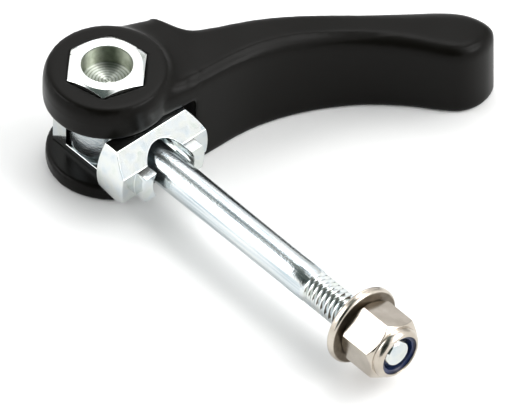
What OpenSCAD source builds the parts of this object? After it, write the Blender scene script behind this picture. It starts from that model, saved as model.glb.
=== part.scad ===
// Quick release bolt for a seatpost clamp: a forked lever turns an eccentric pin,
// which pulls an eye bolt through a saddle and squeezes the clamp against a lock nut.
// X runs along the bolt, Z along the lever's pivot, and Z = 0 is the lever's flat side.

/* [Bolt] */
// Diameter of the plain shank
shank_d = 6; // [5:0.1:7]
// Diameter over the thread, which passes through the nut
thread_d = 5.9; // [4.9:0.1:6]
// Distance from the pivot to where the shank ends and the thread starts
thread_start = 50.4; // [40:0.1:55]
// Distance by which the bolt's end lies inside the nut's rim
end_recess = 0.5; // [0.1:0.1:1.5]
// Length of the cone that ends the thread
lead_cone = 1; // [0.4:0.1:1.5]
// Depth by which that cone falls below the thread's crests
lead_depth = 0.9; // [0.3:0.1:1.5]
// Outer diameter of the eye
eye_d = 11.5; // [10.5:0.1:11.6]
// Rounding of the eye's rim
eye_round = 0.6; // [0.2:0.1:1]

/* [Cam pin] */
// Width across the flats of the hexagon
hex_flats = 12.3; // [11:0.1:13]
// Height by which the hexagon stands above the lever
hex_proud = 0.8; // [0.4:0.1:2]
// Diameter of the round face inside the hexagon's chamfer
hex_face_d = 11.6; // [10:0.1:12.2]
// Turn of the hexagon from the lever's own axis, in degrees
hex_turn = 25; // [0:1:59]
// Diameter of the blind hole in the pin's head
head_hole_d = 8.5; // [6:0.1:9.5]
// Depth of the blind hole down to its drill point
head_hole_depth = 3.7; // [2:0.1:6]
// Diameter of the upper journal, which turns in the saddle
upper_journal_d = 9.5; // [9.4:0.05:9.8]
// Diameter of the eccentric journal, which carries the eye
cam_d = 8; // [7.4:0.1:8]
// Offset of the eccentric journal from the pivot
cam_throw = 0.65; // [0.4:0.05:0.7]
// Diameter of the lower journal
lower_journal_d = 6.5; // [5:0.1:6.6]

/* [Lever] */
// Radius of the lower ear
lower_ear_r = 9.95; // [9.5:0.05:11]
// Radius of the upper ear
upper_ear_r = 10.45; // [10:0.05:11]
// Thickness of the lower ear
lower_ear_t = 2.9; // [2:0.1:5]
// Thickness of the upper ear
upper_ear_t = 6.3; // [5:0.1:8]
// Rounding of the upper ear's top rim
ear_round = 1.3; // [0.3:0.1:2.5]
// Rounding along the lever's lower edges
base_round = 0.5; // [0.2:0.1:1]
// Height of the gap between the ears
slot_h = 11.3; // [10:0.1:13]
// Radius of the slot's end about the pivot
slot_r = 14.2; // [14:0.1:15]
// Angle from the bolt to the lever's own axis when closed, in degrees
lever_angle = 48.6; // [44:0.5:60]
// Distance from the pivot to the arm's tip
arm_len = 62.4; // [50:0.2:75]
// Rounding along the arm's top edge on the clamp side
near_round = 2; // [1:0.1:3]

/* [Saddle] */
// Width of the block between the ears
block_w = 11.4; // [10.6:0.1:12.4]
// Radius of the block's round back about the pivot
block_back_r = 8.85; // [8.2:0.05:9.5]
// Radius of the cavity that the eye moves in
cavity_r = 6.7; // [6.6:0.05:7.2]
// Thickness of the plates above and below the eye
plate_t = 1.1; // [1:0.05:1.8]
// Distance from the pivot to the back of the flange
flange_back = 7.9; // [7.4:0.1:9]
// Distance from the pivot to the front land, which presses on the clamp
flange_front = 14.1; // [13:0.1:16]
// Radius of the flange
flange_r = 9.25; // [8.5:0.05:9.4]
// Distance from the pivot to where the flange's bevels start
bevel_start = 10.8; // [10:0.1:12]
// Height of the front land between the bevels
land_h = 5.1; // [4:0.1:7]
// Radius of the spigot in front of the land
spigot_r = 6.6; // [5.6:0.1:7.5]
// Length of the spigot
spigot_len = 2.25; // [1:0.05:4]
// Diameter of the hole that the bolt passes through
bore_d = 8.9; // [8.2:0.1:9]

/* [Nut and washer] */
// Outer diameter of the washer
washer_d = 14; // [12:0.5:18]
// Diameter of the washer's hole
washer_hole_d = 6.4; // [6.2:0.1:7.4]
// Thickness of the washer
washer_t = 1.6; // [1:0.1:2.5]
// Rounding of the washer's rim
washer_round = 0.6; // [0.1:0.1:0.7]
// Distance from the pivot to the face between washer and nut
nut_seat = 62.8; // [56:0.1:64]
// Width across the flats of the nut
nut_flats = 10; // [9:0.1:13]
// Diameter of the round face inside the nut's chamfers
nut_face_d = 9.8; // [9:0.1:11]
// Length of the nut's hexagon
nut_hex_len = 7.3; // [4:0.1:7.4]
// Whole length of the nut with its collar
nut_len = 8.7; // [8.5:0.1:12]
// Outer diameter of the collar
collar_d = 9.2; // [8.6:0.1:9.6]
// Rounding of the collar's rim
collar_round = 1.2; // [0.3:0.1:1.5]
// Diameter of the collar's mouth
mouth_d = 7.2; // [6.6:0.1:7.6]
// Turn of the nut about the bolt, in degrees
nut_turn = 8; // [0:1:59]
// Outer diameter of the nylon ring
ring_d = 8; // [7.8:0.1:8.4]
// Length of the nylon ring
ring_len = 2.2; // [1:0.1:3]
// Thickness of the collar's lip over the nylon ring
lip_t = 0.5; // [0.3:0.1:1]

/* [Clearances] */
// Radial clearance of a journal in its bore
run_gap = 0.05; // [0.01:0.01:0.1]
// Gap between the saddle and each ear
slide_gap = 0.05; // [0.02:0.01:0.15]
// Gap round the hexagon in its socket
socket_gap = 0.12; // [0.05:0.01:0.2]
// Gap between the eye and each plate of the saddle
eye_gap = 0.2; // [0.1:0.05:0.4]
// Gap between washer and nut, and round the nylon ring
seat_gap = 0.02; // [0.01:0.01:0.1]

/* [Hidden] */
$fn = 48;
// Facets of the small circles that round an edge
round_fn = 16;
// Length by which a cut runs past a face
over = 1;
// Distance by which the cones that trim a hexagon reach past its corners
cone_reach = 0.5;
// Slope of the cone that trims the pin's hexagon, in degrees
pin_slope = 30;
// Slope of the cones that trim the nut's hexagon, in degrees
nut_slope = 42;
// Slope of the drill point in the pin's head, in degrees
drill_slope = 31;
// Depth and length of the groove where the thread runs out to the shank
runout_depth = 0.25;
runout_len = 0.5;
runout_lead = 0.3;
// Share of a section's width that its larger rounding may take up
round_share = 0.45;

slot_top = lower_ear_t + slot_h;
lever_top = slot_top + upper_ear_t;
axis_z = lower_ear_t + slot_h / 2;
saddle_h = slot_h - 2 * slide_gap;
saddle_low = lower_ear_t + slide_gap;
cavity_h = saddle_h - 2 * plate_t;
cavity_low = saddle_low + plate_t;
cavity_top = cavity_low + cavity_h;
eye_h = cavity_h - 2 * eye_gap;
upper_bore_d = upper_journal_d + 2 * run_gap;
lower_bore_d = lower_journal_d + 2 * run_gap;
nut_hole_d = thread_d + 2 * run_gap;
bolt_end = nut_seat + nut_len - end_recess;

// Arm sections in the lever's own frame: [x, clamp side y, outer side y, top z, outer rounding]
ARM = [
    [-2.8, -9.6, 9.9, 19.4, 0.8],
    [0.5, -10.2, 10.8, 19.4, 0.8],
    [4.0, -9.2, 12.0, 19.4, 0.8],
    [7.2, -6.7, 12.9, 19.3, 0.8],
    [9.0, -5.2, 12.4, 19.3, 0.8],
    [11.2, -3.7, 11.3, 19.1, 0.8],
    [13.6, -1.9, 10.9, 18.7, 0.8],
    [17.0, 0.9, 11.8, 18.4, 0.8],
    [21.0, 4.2, 13.3, 18.0, 0.8],
    [25.0, 6.8, 14.5, 17.7, 0.8],
    [30.0, 9.0, 15.7, 17.1, 0.8],
    [36.0, 10.6, 16.9, 16.1, 0.8],
    [42.5, 11.3, 17.7, 15.4, 1.0],
    [49.0, 10.9, 19.2, 14.9, 2.4],
    [53.5, 10.1, 19.9, 14.4, 2.4],
    [57.0, 9.8, 19.9, 14.1, 2.4],
    [59.5, 10.8, 19.2, 13.8, 2.4],
    [61.4, 12.7, 18.1, 13.3, 2.2],
    [62.4, 14.8, 16.9, 12.3, 1.0]
];
// Place in the table from which the arm is stretched to its length
NECK_X = 13.6;
// Sections drawn between two rows of the table
STEPS = 3;
// Segments in each rounded corner of a section
CORNER = 5;

// Smooth curve through four values, at t from 0 to 1 between the middle two
function blend(a, b, c, d, t) =
    0.5 * ((2 * b) + (c - a) * t + (2 * a - 5 * b + 4 * c - d) * t * t
    + (3 * b - a - 3 * c + d) * t * t * t);

// Distance along the arm, stretched beyond its neck so that the last row lies at its tip
function along_arm(x) =
    x < NECK_X ? x : NECK_X + (x - NECK_X) * (arm_len - NECK_X) / (ARM[len(ARM) - 1][0] - NECK_X);

// One row of the arm table, at a place that may lie between two rows
function arm_row(s) =
    let (
        last = len(ARM) - 1,
        i = min(floor(s), last - 1),
        t = s - i,
        a = ARM[max(i - 1, 0)],
        b = ARM[i],
        c = ARM[i + 1],
        d = ARM[min(i + 2, last)]
    )
    [for (k = [0:4]) blend(a[k], b[k], c[k], d[k], t)];

// Points of an arc in a section: centre, radius, first and last angle
function arc(cy, cz, r, a0, a1) =
    [for (i = [0:CORNER]) let (a = a0 + (a1 - a0) * i / CORNER) [cy + r * cos(a), cz + r * sin(a)]];

// Closed outline of one arm section, from its lower clamp side edge upwards
function arm_outline(row) =
    let (
        near = row[1],
        far = row[2],
        top = row[3],
        room = (far - near) * round_share,
        rn = min(near_round, room),
        rf = min(row[4], room),
        rb = min(base_round, room)
    )
    concat(
        arc(near + rb, rb, rb, 270, 180),
        arc(near + rn, top - rn, rn, 180, 90),
        arc(far - rf, top - rf, rf, 90, 0),
        arc(far - rb, rb, rb, 0, -90)
    );

// Solid skinned over all the arm's sections
module arm() {
    rows = [for (i = [0:(len(ARM) - 1) * STEPS]) arm_row(i / STEPS)];
    rings = [for (row = rows) [for (q = arm_outline(row)) [along_arm(row[0]), q[0], q[1]]]];
    n = len(rings[0]);
    m = len(rings);
    points = [for (ring = rings) each ring];
    sides = [for (j = [0:m - 2]) for (i = [0:n - 1]) let (k = (i + 1) % n)
        each [[j * n + i, (j + 1) * n + k, (j + 1) * n + i], [j * n + i, j * n + k, (j + 1) * n + k]]];
    start_cap = [for (i = [n - 1:-1:0]) i];
    end_cap = [for (i = [0:n - 1]) (m - 1) * n + i];
    polyhedron(points, concat(sides, [start_cap, end_cap]), convexity = 6);
}

// Disc with a rounded top rim and a small rounding below
module ear_disc(r, h, top_round, low_round) {
    rotate_extrude()
        union() {
            translate([0, low_round])
                square([r, h - low_round - top_round]);
            square([r - low_round, h - top_round]);
            translate([0, h / 2])
                square([r - top_round, h / 2]);
            translate([r - top_round, h - top_round])
                circle(top_round, $fn = round_fn);
            translate([r - low_round, low_round])
                circle(low_round, $fn = round_fn);
        }
}

// Straight hexagonal prism, given its width across flats
module hexagon(flats, h) {
    cylinder(h = h, d = flats / cos(30), $fn = 6);
}

// Hexagonal prism with its corners trimmed by cones that leave round faces
module chamfered_hexagon(flats, face_d, h, slope, trim_low) {
    corner_r = flats / 2 / cos(30);
    reach = corner_r + cone_reach;
    fall = (reach - face_d / 2) * tan(slope);
    intersection() {
        hexagon(flats, h);
        rotate_extrude()
            polygon([
                [0, 0],
                [trim_low ? face_d / 2 : reach, 0],
                [reach, trim_low ? fall : fall / 2],
                [reach, h - fall],
                [face_d / 2, h],
                [0, h]
            ]);
    }
}

// Turns a shape drawn along Z so that it lies along the bolt
module along_bolt() {
    translate([0, 0, axis_z])
        rotate([0, 90, 0])
            children();
}

module lever() {
    color("#1b1c1e")
        rotate([0, 0, lever_angle])
            difference() {
                union() {
                    ear_disc(lower_ear_r, lever_top - upper_ear_t, base_round, base_round);
                    translate([0, 0, slot_top])
                        ear_disc(upper_ear_r, upper_ear_t, ear_round, base_round);
                    arm();
                }
                translate([0, 0, lower_ear_t])
                    cylinder(h = slot_h, r = slot_r);
                translate([0, 0, -over])
                    cylinder(h = lower_ear_t + 2 * over, d = lower_bore_d);
                rotate([0, 0, hex_turn])
                    translate([0, 0, slot_top - over])
                        hexagon(hex_flats + 2 * socket_gap, upper_ear_t + 2 * over);
            }
}

module cam_pin() {
    head_top = lever_top + hex_proud;
    drill_point = head_hole_d / 2 * tan(drill_slope);
    color("#c9ccd0")
        difference() {
            union() {
                translate([0, 0, slot_top])
                    rotate([0, 0, lever_angle + hex_turn])
                        chamfered_hexagon(hex_flats, hex_face_d, upper_ear_t + hex_proud, pin_slope, false);
                translate([0, 0, cavity_top])
                    cylinder(h = slot_top - cavity_top + over, d = upper_journal_d);
                translate([-cam_throw, 0, cavity_low])
                    cylinder(h = cavity_h + plate_t / 2, d = cam_d);
                translate([0, 0, base_round])
                    cylinder(h = cavity_low - base_round + over, d = lower_journal_d);
            }
            translate([0, 0, head_top - head_hole_depth])
                cylinder(h = head_hole_depth + over, d = head_hole_d);
            translate([0, 0, head_top - head_hole_depth - drill_point])
                cylinder(h = drill_point, r1 = 0, r2 = head_hole_d / 2);
        }
}

// Block between the ears: flat sides and a back that is round about the pivot
module saddle_block() {
    translate([0, 0, saddle_low])
        intersection() {
            union() {
                cylinder(h = saddle_h, r = block_back_r);
                translate([0, -block_w / 2, 0])
                    cube([flange_back + over, block_w, saddle_h]);
            }
            translate([-block_back_r - over, -block_w / 2, 0])
                cube([block_back_r + flange_back + 2 * over, block_w, saddle_h]);
        }
}

// Side view of the flange: full height at the back, bevelled to the front land
module flange_profile() {
    polygon([
        [flange_back, -saddle_h / 2],
        [bevel_start, -saddle_h / 2],
        [flange_front, -land_h / 2],
        [flange_front + spigot_len, -land_h / 2],
        [flange_front + spigot_len, land_h / 2],
        [flange_front, land_h / 2],
        [bevel_start, saddle_h / 2],
        [flange_back, saddle_h / 2]
    ]);
}

// Turned flange and spigot, trimmed above and below to the side view
module saddle_front() {
    intersection() {
        along_bolt()
            union() {
                translate([0, 0, flange_back])
                    cylinder(h = flange_front - flange_back, r = flange_r);
                translate([0, 0, flange_front - over])
                    cylinder(h = spigot_len + over, r = spigot_r);
            }
        translate([0, flange_r + over, axis_z])
            rotate([90, 0, 0])
                linear_extrude(2 * (flange_r + over))
                    flange_profile();
    }
}

module saddle() {
    color("#d3d6da")
        difference() {
            union() {
                saddle_block();
                saddle_front();
            }
            translate([0, 0, cavity_low])
                cylinder(h = cavity_h, r = cavity_r);
            translate([0, -block_w / 2 - over, cavity_low])
                cube([flange_back, block_w + 2 * over, cavity_h]);
            translate([0, 0, cavity_top - over])
                cylinder(h = plate_t + 2 * over, d = upper_bore_d);
            translate([0, 0, saddle_low - over])
                cylinder(h = plate_t + 2 * over, d = lower_bore_d);
            along_bolt()
                translate([0, 0, flange_back - over])
                    cylinder(h = flange_front + spigot_len - flange_back + 2 * over, d = bore_d);
        }
}

// Turned outline of the shank, the thread and its leading cone
module bolt_profile() {
    thread_r = thread_d / 2;
    groove_r = thread_r - runout_depth;
    polygon([
        [0, 0],
        [shank_d / 2, 0],
        [shank_d / 2, thread_start - runout_lead],
        [groove_r, thread_start],
        [groove_r, thread_start + runout_len],
        [thread_r, thread_start + runout_len + runout_lead],
        [thread_r, bolt_end - lead_cone],
        [thread_r - lead_depth, bolt_end],
        [0, bolt_end]
    ]);
}

module eye_bolt() {
    color("#d3d6da")
        difference() {
            union() {
                translate([-cam_throw, 0, axis_z - eye_h / 2])
                    ear_disc(eye_d / 2, eye_h, eye_round, eye_round);
                along_bolt()
                    rotate_extrude()
                        bolt_profile();
            }
            translate([-cam_throw, 0, axis_z - eye_h / 2 - over])
                cylinder(h = eye_h + 2 * over, d = cam_d + 2 * run_gap);
        }
}

module washer() {
    color("#b9b2a8")
        along_bolt()
            translate([0, 0, nut_seat - seat_gap - washer_t])
                difference() {
                    ear_disc(washer_d / 2, washer_t, washer_round, washer_round);
                    translate([0, 0, -over])
                        cylinder(h = washer_t + 2 * over, d = washer_hole_d);
                }
}

// Rolled collar that holds the nylon ring, drawn from inside the hexagon to its rim
module nut_collar() {
    rotate_extrude()
        union() {
            translate([0, nut_hex_len / 2])
                square([collar_d / 2, nut_len - collar_round - nut_hex_len / 2]);
            translate([0, nut_hex_len])
                square([collar_d / 2 - collar_round, nut_len - nut_hex_len]);
            translate([collar_d / 2 - collar_round, nut_len - collar_round])
                circle(collar_round, $fn = round_fn);
        }
}

module lock_nut() {
    color("#bdb6ab")
        along_bolt()
            translate([0, 0, nut_seat])
                difference() {
                    union() {
                        rotate([0, 0, nut_turn])
                            chamfered_hexagon(nut_flats, nut_face_d, nut_hex_len, nut_slope, true);
                        nut_collar();
                    }
                    translate([0, 0, -over])
                        cylinder(h = nut_len + 2 * over, d = nut_hole_d);
                    translate([0, 0, nut_len - lip_t])
                        cylinder(h = lip_t + over, d = mouth_d);
                    translate([0, 0, nut_len - lip_t - ring_len - 2 * seat_gap])
                        cylinder(h = ring_len + 2 * seat_gap, d = ring_d + 2 * seat_gap);
                }
}

module nylon_insert() {
    color("#1c2f5e")
        along_bolt()
            translate([0, 0, nut_seat + nut_len - lip_t - ring_len - seat_gap])
                difference() {
                    cylinder(h = ring_len, d = ring_d);
                    translate([0, 0, -over])
                        cylinder(h = ring_len + 2 * over, d = nut_hole_d);
                }
}

lever();
cam_pin();
saddle();
eye_bolt();
washer();
lock_nut();
nylon_insert();
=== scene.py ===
"""Looks of a seatpost quick release bolt: black moulded lever, bright zinc pin, saddle and bolt,
stainless lock nut with a blue nylon ring, and a washer, lying on a plain pale floor."""
import math

import bmesh
import bpy
from mathutils import Matrix, Vector


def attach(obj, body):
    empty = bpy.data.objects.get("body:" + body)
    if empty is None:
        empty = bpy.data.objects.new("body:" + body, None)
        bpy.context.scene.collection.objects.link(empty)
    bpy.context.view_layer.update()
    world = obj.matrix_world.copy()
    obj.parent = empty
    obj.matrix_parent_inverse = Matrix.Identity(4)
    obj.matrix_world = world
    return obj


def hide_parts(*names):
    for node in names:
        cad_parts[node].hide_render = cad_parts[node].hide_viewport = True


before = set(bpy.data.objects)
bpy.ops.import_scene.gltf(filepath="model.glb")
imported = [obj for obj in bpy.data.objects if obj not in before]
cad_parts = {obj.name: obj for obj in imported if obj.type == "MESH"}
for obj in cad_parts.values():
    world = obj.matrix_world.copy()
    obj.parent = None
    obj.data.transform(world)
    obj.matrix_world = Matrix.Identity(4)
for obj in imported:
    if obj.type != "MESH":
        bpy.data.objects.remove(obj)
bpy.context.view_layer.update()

# Sizes are in millimetres and angles in degrees, in the part's own frame: X along the bolt, Z up the pivot.
MM = 0.001

# The photograph's view.
IMAGE_W = 511                           # pixels across
PX_PER_MM = 6.2
VIEW_TURN = 48.6                        # from the bolt's line to the picture's left-to-right
VIEW_TILT = 45.3                        # how far the camera looks down
VIEW_CENTRE = (23.95, -10.66, 0)        # the floor at the picture's middle: along the picture, into it, up
VIEW_DISTANCE = 500

# The lever.
VOXEL = 0.3                             # its even mesh
SEATS = (                               # flat faces that stay in place: height, and reach from the pivot
    (0.0, math.inf),                    # underside
    (2.9, 14.2),                        # the slot's floor
    (14.2, 14.2),                       # the slot's ceiling
)
SOFTENED = (                            # reach from the pivot (from, to), least height, times relaxed
    (7.6, math.inf, -math.inf, 6),      # all but the pin's socket
    (14.8, math.inf, -math.inf, 10),    # the arm beyond the slot
    (9.9, 14.5, 17.6, 40),              # the valley where the round ear runs into the arm
)
NEAR_EDGE_WAY = (0.05, -0.7, 0.7)       # where the arm's near top edge faces in the picture: right, into it, up
NEAR_EDGE_COSINE = 0.8                  # of the widest angle by which the edge's skin may face away from it
NEAR_EDGE_REACH = 13
NEAR_EDGE_HEIGHT = 15
NEAR_EDGE_TIMES = 50

# The pin and its blind hole.
PIN_TOP = 21.3
HOLE_R = 4.25
HOLE_FLOOR = 17.6                       # where the hole's wall ends and the drill's cone begins
FACE_BAND = 0.05                        # a point this near to the wall's or the rim's surface belongs to it
RIM_FADE = 0.5                          # depth below the top at which the hole has its full colour
CONE_FADE = 0.1                         # half the width of the change from wall to cone
DRILL_RINGS = 0.56                      # from ring to ring, as drawn
WAVE_PERIOD = math.pi / 10              # repeat of a wave texture at scale 1

# The bolt.
AXIS_Z = 8.55                           # height of its axis
EYE_FRONT = 5.3                         # where the shank leaves the eye
SHANK_R = 3.0
SHANK_END = 50.1
SHANK_RINGS = 10
NECK_R = 2.7
NECK_LENGTH = 0.5
THREAD_START = 50.9
BOLT_END = 71.0
PITCH = 1.0
THREAD_STEPS = 48                       # in one turn
THREAD_PROFILE = ((0.09, 2.95), (0.36, 2.5), (0.44, 2.42), (0.56, 2.42), (0.64, 2.5), (0.91, 2.95))
CREST_R = THREAD_PROFILE[0][1]          # the profile is in pairs of place along the pitch and radius
LEAD = 1.0                              # length of the taper at the bolt's end
LEAD_FALL = 0.9                         # what the crests lose there in radius, per millimetre

# How near two points have to lie to be joined, and a point to a cutting plane to be on it.
SAME_POINT = 0.002
SAME_THREAD_POINT = 0.004
ON_PLANE = 0.0005
FLAT_ANGLE = 0.6                        # faces that turn by less are one flat face

# The light and the floor.
FLOOR_REACH = 2000                      # each way from the pivot
SOFTBOX_WAY = (14, 62)                  # turn and height, as in TENT
SOFTBOX_SIDES = (260, 200)
SOFTBOX_DISTANCE = 500
SOFTBOX_AIM = (20, 10, 0)
SOFTBOX_WATTS = 0.6
TENT_STRENGTH = 1.44
# Patches of the tent, found from what the photograph's surfaces mirror. Each has its turn (to the right of
# straight away from the camera) and its height, how far from its middle it is full and where it ends, and
# its brightness beside the plain cloth.
TENT = (
    (-42, 74, 16, 26, 0.24),            # opening overhead: the dark band along the shank
    (204, 54, 22, 36, 0.13),            # dark, on the camera's side: the pin's cone, the edge by the arm's tip
    (184, 24, 24, 36, 0.1),             # the same lower down: the black band there, the thread's grooves
    (20, 15, 8, 18, 0.68),              # grey, behind: the nut's upper flat, the shank's far line
    (42, 12, 10, 26, 0.6),              # grey, further right: the ear's right side, the washer's rim
    (-86, 34, 12, 24, 3.1),             # lamp at the left: the shank's bright flank, the nut's front flat
    (112, 26, 10, 20, 5.2),             # lamp at the right: the saddle's front bevel, the arm's near edge
    (96, 50, 10, 20, 4.6),              # its upper part: the same edge where it turns upwards
    (104, 37, 4, 9, 0.05),              # gap between the two: keeps the bevel from burning out
    (-4, 24, 5, 14, 2.2),               # bright strip behind: the line along the lever's far top edge
)

# Sockets of a Mix node that carry its colours. They have no names of their own.
COLOUR_A, COLOUR_B, MIXED = 6, 7, 2
BRIGHT_STAINLESS = [(0.3, "#b3aa9e"), (0.7, "#c6beb3")]


def srgb(text):
    """Linear RGBA of an sRGB hex colour."""
    parts = [int(text[i:i + 2], 16) / 255 for i in (1, 3, 5)]
    return [p / 12.92 if p <= 0.04045 else ((p + 0.055) / 1.055) ** 2.4 for p in parts] + [1.0]


def add(tree, kind, settings=None, links=None):
    """Adds one node, with its settings (attributes or sockets) and the outputs that feed its inputs."""
    node = tree.nodes.new(kind)
    for key, value in (settings or {}).items():
        if key == "stops":
            while len(node.color_ramp.elements) < len(value):
                node.color_ramp.elements.new(0.5)
            for element, (place, colour) in zip(node.color_ramp.elements, value):
                element.position, element.color = place, srgb(colour)
        elif isinstance(key, str) and hasattr(node, key) and key not in node.inputs:
            setattr(node, key, value)
        else:
            node.inputs[key].default_value = value
    for key, output in (links or {}).items():
        tree.links.new(output, node.inputs[key])
    return node


def per_blob(size):
    """Scale of a noise in object coordinates whose blobs are size mm across."""
    return 1 / (size * MM)


def material(name, **sockets):
    """A new material with its shader; sockets are set on the shader itself."""
    made = bpy.data.materials.new(name)
    made.use_nodes = True
    shader = made.node_tree.nodes["Principled BSDF"]
    for key, value in sockets.items():
        shader.inputs[key.replace("_", " ")].default_value = value
    return made, made.node_tree, shader


def black_nylon():
    """Glass-filled nylon, moulded in a finely eroded tool: near black, a soft sheen and a faint grain.
    The real grain, about 0.08 mm, is half a pixel of the picture and is drawn at two pixels to show."""
    made, tree, shader = material("moulded_glass_filled_nylon", Base_Color=srgb("#090806"),
                                  IOR=1.53, Specular_IOR_Level=0.082)
    place = add(tree, "ShaderNodeTexCoord")
    grain = add(tree, "ShaderNodeTexNoise", {"Scale": per_blob(0.31), "Detail": 2.0},
                {"Vector": place.outputs["Object"]})
    flow = add(tree, "ShaderNodeTexNoise", {"Scale": per_blob(6.0), "Detail": 3.0},
               {"Vector": place.outputs["Object"]})
    rough = add(tree, "ShaderNodeMapRange",
                {"From Min": 0.3, "From Max": 0.7, "To Min": 0.28, "To Max": 0.34},
                {"Value": flow.outputs["Fac"]})
    tree.links.new(rough.outputs["Result"], shader.inputs["Roughness"])
    bump = add(tree, "ShaderNodeBump", {"Strength": 0.25, "Distance": 0.02 * MM},
               {"Height": grain.outputs["Fac"]})
    tree.links.new(bump.outputs["Normal"], shader.inputs["Normal"])
    return made


def bright_zinc():
    """Steel with bright zinc plating: a cold near-white mirror, slightly rippled, faintly tinted."""
    made, tree, shader = material("bright_zinc_plated_steel", Metallic=1.0, Roughness=0.12)
    place = add(tree, "ShaderNodeTexCoord")
    tint = add(tree, "ShaderNodeTexNoise", {"Scale": per_blob(1.9), "Detail": 4.0},
               {"Vector": place.outputs["Object"]})
    colours = add(tree, "ShaderNodeValToRGB",
                  {"stops": [(0.3, "#c4cdd1"), (0.45, "#cfd4d5"), (0.58, "#d4d7d4"), (0.72, "#c9d0cb")]},
                  {"Fac": tint.outputs["Fac"]})
    tree.links.new(colours.outputs["Color"], shader.inputs["Base Color"])
    ripple = add(tree, "ShaderNodeTexNoise", {"Scale": per_blob(3.8), "Detail": 3.0, "Roughness": 0.45},
                 {"Vector": place.outputs["Object"]})
    bump = add(tree, "ShaderNodeBump", {"Strength": 0.5, "Distance": 0.12 * MM},
               {"Height": ripple.outputs["Fac"]})
    tree.links.new(bump.outputs["Normal"], shader.inputs["Normal"])
    return made


def drilled_zinc():
    """The pin's plating: bright outside, and ringed by the drill on the cone of its blind hole. Down the hole's
    wall it is olive grey and darker, a painted shade for the dark that falls in the hole. The drill's real
    rings are about 0.38 mm apart, too fine for this picture, and are drawn coarser to show."""
    made, tree, shader = material("zinc_plated_drilled_steel", Metallic=1.0, Roughness=0.13,
                                  Anisotropic=1.0, Anisotropic_Rotation=0.25)
    place = add(tree, "ShaderNodeTexCoord")
    parts = add(tree, "ShaderNodeSeparateXYZ", links={"Vector": place.outputs["Object"]})
    flat = add(tree, "ShaderNodeCombineXYZ", links={"X": parts.outputs["X"], "Y": parts.outputs["Y"]})
    radius = add(tree, "ShaderNodeVectorMath", {"operation": "LENGTH"}, {0: flat.outputs["Vector"]})
    inside = add(tree, "ShaderNodeMath", {"operation": "LESS_THAN", 1: (HOLE_R + FACE_BAND) * MM},
                 {0: radius.outputs["Value"]})
    below_rim = add(tree, "ShaderNodeMapRange",
                    {"From Min": (PIN_TOP - FACE_BAND) * MM, "From Max": (PIN_TOP - RIM_FADE) * MM},
                    {"Value": parts.outputs["Z"]})
    above_cone = add(tree, "ShaderNodeMapRange",
                     {"From Min": (HOLE_FLOOR - CONE_FADE) * MM, "From Max": (HOLE_FLOOR + CONE_FADE) * MM},
                     {"Value": parts.outputs["Z"]})
    hole = add(tree, "ShaderNodeMath", {"operation": "MULTIPLY"},
               {0: inside.outputs["Value"], 1: below_rim.outputs["Result"]})
    wall = add(tree, "ShaderNodeMath", {"operation": "MULTIPLY"},
               {0: hole.outputs["Value"], 1: above_cone.outputs["Result"]})
    cloud = add(tree, "ShaderNodeTexNoise", {"Scale": per_blob(1.7), "Detail": 4.0},
                {"Vector": place.outputs["Object"]})
    bright = add(tree, "ShaderNodeValToRGB", {"stops": [(0.35, "#dde2e2"), (0.65, "#eceee9")]},
                 {"Fac": cloud.outputs["Fac"]})
    # Painted shade: olive grey, darker than the bright plating, laid down the hole's wall where shade falls.
    painted_hole_shade = add(tree, "ShaderNodeValToRGB", {"stops": [(0.35, "#8d9483"), (0.65, "#b2b8a8")]},
               {"Fac": cloud.outputs["Fac"]})
    rings = add(tree, "ShaderNodeTexWave",
                {"wave_type": "RINGS", "rings_direction": "Z", "Scale": WAVE_PERIOD / (DRILL_RINGS * MM),
                 "Distortion": 0.3, "Detail": 1.0},
                {"Vector": place.outputs["Object"]})
    lines = add(tree, "ShaderNodeMapRange", {"From Min": 0.5, "From Max": 0.95},
                {"Value": rings.outputs["Fac"]})
    turned = add(tree, "ShaderNodeMath", {"operation": "MULTIPLY"},
                 {0: lines.outputs["Result"], 1: hole.outputs["Value"]})
    ringed = add(tree, "ShaderNodeMix", {"data_type": "RGBA", COLOUR_B: srgb("#8b9188")},
                 {"Factor": turned.outputs["Value"], COLOUR_A: bright.outputs["Color"]})
    # The hole's wall takes the painted shade; the rest keeps the bright, ringed colour.
    colour = add(tree, "ShaderNodeMix", {"data_type": "RGBA"},
                 {"Factor": wall.outputs["Value"], COLOUR_A: ringed.outputs[MIXED],
                  COLOUR_B: painted_hole_shade.outputs["Color"]})
    tree.links.new(colour.outputs[MIXED], shader.inputs["Base Color"])
    rough = add(tree, "ShaderNodeMapRange", {"To Min": 0.13, "To Max": 0.43},
                {"Value": hole.outputs["Value"]})
    tree.links.new(rough.outputs["Result"], shader.inputs["Roughness"])
    around = add(tree, "ShaderNodeTangent", {"direction_type": "RADIAL", "axis": "Z"})
    tree.links.new(around.outputs["Tangent"], shader.inputs["Tangent"])
    cut = add(tree, "ShaderNodeBump", {"Strength": 0.7, "Distance": 0.05 * MM},
              {"Height": turned.outputs["Value"]})
    tree.links.new(cut.outputs["Normal"], shader.inputs["Normal"])
    return made


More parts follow.
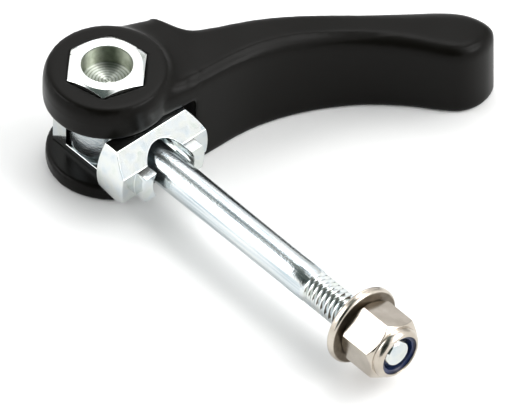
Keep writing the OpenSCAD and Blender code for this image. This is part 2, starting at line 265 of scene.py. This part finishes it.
def drawn_zinc():
    """The same plating over drawn bar: scratches run along the shank and break up what it mirrors.
    Scratches (about 0.05 mm) and the zinc's crystals (0.1 mm) would be lost in this picture, and both
    are drawn about two pixels wide to show."""
    made, tree, shader = material("zinc_plated_drawn_bar", Metallic=1.0, Roughness=0.2)
    place = add(tree, "ShaderNodeTexCoord")
    along = add(tree, "ShaderNodeMapping", {"Scale": (per_blob(14.0), per_blob(0.4), per_blob(0.4))},
                {"Vector": place.outputs["Object"]})
    streak = add(tree, "ShaderNodeTexNoise", {"Scale": 1.0, "Detail": 4.0},
                 {"Vector": along.outputs["Vector"]})
    colours = add(tree, "ShaderNodeValToRGB",
                  {"stops": [(0.3, "#a9b7be"), (0.5, "#cdd4d7"), (0.7, "#dce0de")]},
                  {"Fac": streak.outputs["Fac"]})
    tree.links.new(colours.outputs["Color"], shader.inputs["Base Color"])
    crystal = add(tree, "ShaderNodeTexNoise", {"Scale": per_blob(0.36), "Detail": 2.0},
                  {"Vector": place.outputs["Object"]})
    scratched = add(tree, "ShaderNodeBump", {"Strength": 0.3, "Distance": 0.03 * MM},
                    {"Height": streak.outputs["Fac"]})
    speckled = add(tree, "ShaderNodeBump", {"Strength": 0.6, "Distance": 0.05 * MM},
                   {"Height": crystal.outputs["Fac"], "Normal": scratched.outputs["Normal"]})
    tree.links.new(speckled.outputs["Normal"], shader.inputs["Normal"])
    return made


def stainless():
    """Stainless steel, forged and tumbled bright: a warm grey mirror, soft and slightly wavy."""
    made, tree, shader = material("tumbled_stainless_steel", Metallic=1.0, Roughness=0.19)
    place = add(tree, "ShaderNodeTexCoord")
    cloud = add(tree, "ShaderNodeTexNoise", {"Scale": per_blob(3.3), "Detail": 2.0},
                {"Vector": place.outputs["Object"]})
    colours = add(tree, "ShaderNodeValToRGB", {"stops": BRIGHT_STAINLESS}, {"Fac": cloud.outputs["Fac"]})
    tree.links.new(colours.outputs["Color"], shader.inputs["Base Color"])
    bump = add(tree, "ShaderNodeBump", {"Strength": 0.15, "Distance": 0.06 * MM},
               {"Height": cloud.outputs["Fac"]})
    tree.links.new(bump.outputs["Normal"], shader.inputs["Normal"])
    return made


def stamped_stainless():
    """The washer's steel: tumbled bright round its rim, duller on the flat faces as rolled; their darker
    brown-grey is a painted shade.
    """
    made, tree, shader = material("stamped_stainless_steel", Metallic=1.0)
    place = add(tree, "ShaderNodeTexCoord")
    facing = add(tree, "ShaderNodeSeparateXYZ", links={"Vector": place.outputs["Normal"]})
    along = add(tree, "ShaderNodeMath", {"operation": "ABSOLUTE"}, {0: facing.outputs["X"]})
    flat = add(tree, "ShaderNodeMapRange", {"From Min": 0.85, "From Max": 0.98},
               {"Value": along.outputs["Value"]})
    cloud = add(tree, "ShaderNodeTexNoise", {"Scale": per_blob(1.5), "Detail": 3.0},
                {"Vector": place.outputs["Object"]})
    rim = add(tree, "ShaderNodeValToRGB", {"stops": BRIGHT_STAINLESS}, {"Fac": cloud.outputs["Fac"]})
    # Painted shade: the flat faces are drawn darker brown-grey for the dark that falls between washer and nut.
    painted_face_shade = add(tree, "ShaderNodeValToRGB", {"stops": [(0.3, "#5c5449"), (0.7, "#736a5e")]},
               {"Fac": cloud.outputs["Fac"]})
    colour = add(tree, "ShaderNodeMix", {"data_type": "RGBA"},
                 {"Factor": flat.outputs["Result"], COLOUR_A: rim.outputs["Color"],
                  COLOUR_B: painted_face_shade.outputs["Color"]})
    tree.links.new(colour.outputs[MIXED], shader.inputs["Base Color"])
    rough = add(tree, "ShaderNodeMapRange", {"To Min": 0.19, "To Max": 0.34},
                {"Value": flat.outputs["Result"]})
    tree.links.new(rough.outputs["Result"], shader.inputs["Roughness"])
    return made


def blue_nylon():
    """Moulded nylon of the lock ring: dark blue, a soft gloss, a little cloudy as it cooled unevenly."""
    made, tree, shader = material("moulded_blue_nylon", IOR=1.53)
    place = add(tree, "ShaderNodeTexCoord")
    cloud = add(tree, "ShaderNodeTexNoise", {"Scale": per_blob(1.2), "Detail": 2.0},
                {"Vector": place.outputs["Object"]})
    colours = add(tree, "ShaderNodeValToRGB", {"stops": [(0.35, "#0d1a3b"), (0.65, "#14254d")]},
                  {"Fac": cloud.outputs["Fac"]})
    tree.links.new(colours.outputs["Color"], shader.inputs["Base Color"])
    rough = add(tree, "ShaderNodeMapRange", {"To Min": 0.24, "To Max": 0.36},
                {"Value": cloud.outputs["Fac"]})
    tree.links.new(rough.outputs["Result"], shader.inputs["Roughness"])
    return made


def white_paper():
    """Matt white paper of the floor, very slightly uneven, so that it catches soft shadows and no gloss."""
    made, tree, shader = material("matt_white_paper", Roughness=0.9)
    place = add(tree, "ShaderNodeTexCoord")
    cloud = add(tree, "ShaderNodeTexNoise", {"Scale": per_blob(40.0), "Detail": 2.0},
                {"Vector": place.outputs["Object"]})
    colours = add(tree, "ShaderNodeValToRGB", {"stops": [(0.3, "#e8e8e7"), (0.7, "#eaeaea")]},
                  {"Fac": cloud.outputs["Fac"]})
    tree.links.new(colours.outputs["Color"], shader.inputs["Base Color"])
    return made


NYLON, ZINC, DRILLED, DRAWN = black_nylon(), bright_zinc(), drilled_zinc(), drawn_zinc()
STEEL, STAMPED, BLUE = stainless(), stamped_stainless(), blue_nylon()
FINISH = {"lever": NYLON, "cam_pin": DRILLED, "saddle": ZINC, "eye_bolt": DRAWN, "washer": STAMPED,
          "lock_nut": STEEL, "nylon_insert": BLUE}
for name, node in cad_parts.items():
    node.data.materials.clear()
    node.data.materials.append(FINISH[name])


def placed(name, data):
    """An object at the origin of the scene that shows the given data."""
    made = bpy.data.objects.new(name, data)
    bpy.context.scene.collection.objects.link(made)
    return made


def meshed(name, bm):
    """The mesh of a finished bmesh, which is then freed."""
    mesh = bpy.data.meshes.new(name)
    bm.to_mesh(mesh)
    bm.free()
    return mesh


def piece(bm, name, finish, body, smooth_angle, stands_for=(), level=False):
    """A finished object from a bmesh, riding on its body. Where level is set, large faces shade flat
    and only the narrow broken edges between them turn."""
    made = placed(name, meshed(name, bm))
    made.data.materials.append(finish)
    made.data.shade_smooth()
    made.data.set_sharp_from_angle(angle=math.radians(smooth_angle))
    if level:
        made.modifiers.new("level_faces", "WEIGHTED_NORMAL").keep_sharp = True
    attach(made, body)
    if stands_for:
        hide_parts(*stands_for)


def merged_copy(name):
    """A bmesh of a CAD node's surface, with its triangles joined."""
    bm = bmesh.new()
    bm.from_mesh(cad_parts[name].data)
    bmesh.ops.remove_doubles(bm, verts=bm.verts, dist=SAME_POINT * MM)
    bmesh.ops.dissolve_degenerate(bm, dist=SAME_POINT * MM, edges=bm.edges)
    return bm


def broken_edges(name, width, angle):
    """A CAD node's surface, its flat faces made whole and its edges sharper than the angle broken by a
    small bevel, as tumbling and plating leave them."""
    bm = merged_copy(name)
    bmesh.ops.dissolve_limit(bm, angle_limit=math.radians(FLAT_ANGLE), verts=bm.verts, edges=bm.edges,
                             use_dissolve_boundaries=False)
    sharp = [e for e in bm.edges if len(e.link_faces) == 2 and e.calc_face_angle(0) > math.radians(angle)]
    bmesh.ops.bevel(bm, geom=sharp, offset=width * MM, offset_type="OFFSET", affect="EDGES", segments=2,
                    profile=0.5, material=-1, clamp_overlap=True)
    return bm


def moulded_lever():
    """The lever as one soft moulding: meshed finely and evenly, then relaxed, most of all in the valley
    where the round ear runs into the arm and along the arm's near top edge. Its seats for saddle and
    pin stay flat and in place."""
    carrier = placed("coarse_lever", meshed("coarse_lever", merged_copy("lever")))
    remesh = carrier.modifiers.new("even_mesh", "REMESH")
    remesh.mode, remesh.voxel_size = "VOXEL", VOXEL * MM
    even = bpy.data.meshes.new_from_object(carrier.evaluated_get(bpy.context.evaluated_depsgraph_get()))
    bpy.data.objects.remove(carrier)
    bm = bmesh.new()
    bm.from_mesh(even)

    def relax(chosen, times):
        for _ in range(times):
            bmesh.ops.smooth_vert(bm, verts=chosen, factor=0.5,
                                  use_axis_x=True, use_axis_y=True, use_axis_z=True)

    def reach(vert):
        return math.hypot(vert.co.x, vert.co.y) / MM

    for inner, outer, above, times in SOFTENED:
        relax([v for v in bm.verts if inner < reach(v) < outer and v.co.z > above * MM], times)
    way = Matrix.Rotation(math.radians(VIEW_TURN), 3, "Z") @ Vector(NEAR_EDGE_WAY).normalized()
    bm.normal_update()
    relax([v for v in bm.verts if reach(v) > NEAR_EDGE_REACH and v.co.z > NEAR_EDGE_HEIGHT * MM
           and v.normal.dot(way) > NEAR_EDGE_COSINE], NEAR_EDGE_TIMES)
    for height, outer in SEATS:
        for vert in bm.verts:
            if abs(vert.co.z / MM - height) < VOXEL / 4 and reach(vert) < outer:
                vert.co.z = height * MM
    return bm


def from_axis(vert):
    """A corner's distance from the bolt's axis."""
    return math.hypot(vert.co.y, vert.co.z - AXIS_Z * MM) / MM


def cut_off(bm, place, side):
    """Cuts a bmesh square to the bolt's axis, drops what lies on the given side (1 or -1) of the cut and
    returns the edges round it."""
    cut = bmesh.ops.bisect_plane(bm, geom=bm.verts[:] + bm.edges[:] + bm.faces[:], dist=ON_PLANE * MM,
                                 plane_co=Vector((place, 0, AXIS_Z)) * MM, plane_no=(side, 0, 0),
                                 clear_outer=True)
    return [e for e in cut["geom_cut"] if isinstance(e, bmesh.types.BMEdge)]


def rolled_thread():
    """M6 thread as rolled: rounded ridges one pitch apart, made by one full turn that climbs one pitch."""
    bm = bmesh.new()
    profile = []
    for turn in range(math.ceil((BOLT_END - THREAD_START) / PITCH) + 2):
        for step, radius in THREAD_PROFILE:
            place = THREAD_START - PITCH + turn * PITCH + step
            profile.append(bm.verts.new(Vector((place, 0, AXIS_Z + radius)) * MM))
    edges = [bm.edges.new(pair) for pair in zip(profile, profile[1:])]
    # The turn ends one pitch along, on the next ridge: remove_doubles joins it there, and use_merge can't.
    bmesh.ops.spin(bm, geom=profile + edges, cent=Vector((0, 0, AXIS_Z)) * MM, axis=(1, 0, 0),
                   dvec=(PITCH * MM / THREAD_STEPS, 0, 0), angle=2 * math.pi, steps=THREAD_STEPS,
                   use_merge=False)
    bmesh.ops.remove_doubles(bm, verts=bm.verts, dist=SAME_THREAD_POINT * MM)
    for place, side in ((THREAD_START, -1), (BOLT_END, 1)):
        bmesh.ops.holes_fill(bm, edges=cut_off(bm, place, side))
    for vert in bm.verts:
        past = vert.co.x / MM - (BOLT_END - LEAD)
        radius = from_axis(vert)
        limit = CREST_R - past * LEAD_FALL
        if past > 0 and radius > limit:
            vert.co.y *= limit / radius
            vert.co.z = AXIS_Z * MM + (vert.co.z - AXIS_Z * MM) * limit / radius
    bmesh.ops.recalc_face_normals(bm, faces=bm.faces)
    return bm


def plain_shank():
    """The bolt's eye, and its plain shank drawn out of it ring by ring up to the rolled thread."""
    bm = merged_copy("eye_bolt")
    rim = cut_off(bm, EYE_FRONT, 1)
    steps = [(EYE_FRONT + i * (SHANK_END - EYE_FRONT) / SHANK_RINGS, SHANK_R)
             for i in range(SHANK_RINGS + 1)]
    for place, radius in steps + [(THREAD_START - NECK_LENGTH, NECK_R), (THREAD_START, NECK_R)]:
        verts = {v for e in rim for v in e.verts}
        if place > EYE_FRONT:
            grown = bmesh.ops.extrude_edge_only(bm, edges=rim)["geom"]
            verts = {v for v in grown if isinstance(v, bmesh.types.BMVert)}
            rim = [e for e in grown if isinstance(e, bmesh.types.BMEdge) and verts.issuperset(e.verts)]
        for vert in verts:
            out = from_axis(vert)
            vert.co = Vector((place, vert.co.y / MM * radius / out,
                              AXIS_Z + (vert.co.z / MM - AXIS_Z) * radius / out)) * MM
    bmesh.ops.holes_fill(bm, edges=rim)
    bmesh.ops.recalc_face_normals(bm, faces=bm.faces)
    return bm


piece(moulded_lever(), "lever_moulded", NYLON, "lever_set",
      smooth_angle=60, stands_for=["lever"])
piece(plain_shank(), "eye_and_shank", DRAWN, "bolt",
      smooth_angle=30, stands_for=["eye_bolt"])
piece(rolled_thread(), "rolled_thread", ZINC, "bolt",
      smooth_angle=50, level=True)
piece(broken_edges("saddle", width=0.16, angle=25), "saddle_plated", ZINC, "saddle",
      smooth_angle=50, stands_for=["saddle"], level=True)
piece(broken_edges("cam_pin", width=0.14, angle=25), "pin_plated", DRILLED, "lever_set",
      smooth_angle=50, stands_for=["cam_pin"], level=True)
piece(broken_edges("lock_nut", width=0.12, angle=12), "nut_tumbled", STEEL, "nut",
      smooth_angle=50, stands_for=["lock_nut"], level=True)


def toward(turn, height):
    """Unit vector of a direction: turned to the right of straight away from the camera, and raised."""
    turn, height = math.radians(turn), math.radians(height)
    flat = Vector((math.sin(turn) * math.cos(height), math.cos(turn) * math.cos(height), math.sin(height)))
    return Matrix.Rotation(math.radians(VIEW_TURN), 4, "Z") @ flat


def pale_floor():
    """A sheet of white paper that reaches past the picture's edges."""
    bm = bmesh.new()
    bmesh.ops.create_grid(bm, x_segments=1, y_segments=1, size=FLOOR_REACH * MM)
    floor = placed("floor", meshed("floor", bm))
    floor.data.materials.append(white_paper())


def white_tent():
    """White cloth all round, darker or brighter in the patches of TENT. Where it is dark it is also a
    little green, as the dark reflections in the photograph are."""
    world = bpy.data.worlds.new("white_tent")
    bpy.context.scene.world = world
    world.use_nodes = True
    tree = world.node_tree
    place = add(tree, "ShaderNodeTexCoord")
    light = None
    for turn, height, inner, outer, brightness in TENT:
        near = add(tree, "ShaderNodeVectorMath", {"operation": "DOT_PRODUCT", 1: toward(turn, height)},
                   {0: place.outputs["Generated"]})
        patch = add(tree, "ShaderNodeMapRange",
                    {"interpolation_type": "SMOOTHSTEP", "From Min": math.cos(math.radians(inner)),
                     "From Max": math.cos(math.radians(outer)), "To Min": brightness, "To Max": 1.0},
                    {"Value": near.outputs["Value"]}).outputs["Result"]
        light = patch if light is None else add(tree, "ShaderNodeMath", {"operation": "MULTIPLY"},
                                                {0: light, 1: patch}).outputs["Value"]
    strength = add(tree, "ShaderNodeMath", {"operation": "MULTIPLY", 1: TENT_STRENGTH}, {0: light})
    cloth = add(tree, "ShaderNodeValToRGB", {"stops": [(0.0, "#a9c4ba"), (0.65, "#ffffff")]}, {"Fac": light})
    tree.links.new(cloth.outputs["Color"], tree.nodes["Background"].inputs["Color"])
    tree.links.new(strength.outputs["Value"], tree.nodes["Background"].inputs["Strength"])


def back_softbox():
    """One large soft light above and behind that faces the bolt and gives the floor its soft shadows."""
    lamp = bpy.data.lights.new("back_softbox", "AREA")
    lamp.shape = "RECTANGLE"
    lamp.size, lamp.size_y = (side * MM for side in SOFTBOX_SIDES)
    lamp.energy = SOFTBOX_WATTS
    holder = placed("back_softbox", lamp)
    way = toward(*SOFTBOX_WAY)
    holder.location = Vector(SOFTBOX_AIM) * MM + way * (SOFTBOX_DISTANCE * MM)
    holder.rotation_euler = way.to_track_quat("Z", "Y").to_euler()


def camera():
    """The photograph's view, in parallel and from above, with the arm running to the picture's right."""
    lens = bpy.data.cameras.new("camera")
    lens.type = "ORTHO"
    lens.ortho_scale = IMAGE_W / PX_PER_MM * MM
    lens.clip_start, lens.clip_end = 10 * MM, 10000 * MM
    view = placed("camera", lens)
    tilt = math.radians(VIEW_TILT)
    back = Vector((0, -math.cos(tilt), math.sin(tilt)))
    view.matrix_world = (Matrix.Rotation(math.radians(VIEW_TURN), 4, "Z")
                         @ Matrix.Translation(Vector(VIEW_CENTRE) * MM + back * (VIEW_DISTANCE * MM))
                         @ Matrix.Rotation(math.pi / 2 - tilt, 4, "X"))
    bpy.context.scene.camera = view


pale_floor()
white_tent()
back_softbox()
camera()
bpy.context.scene.view_settings.view_transform = "Standard"
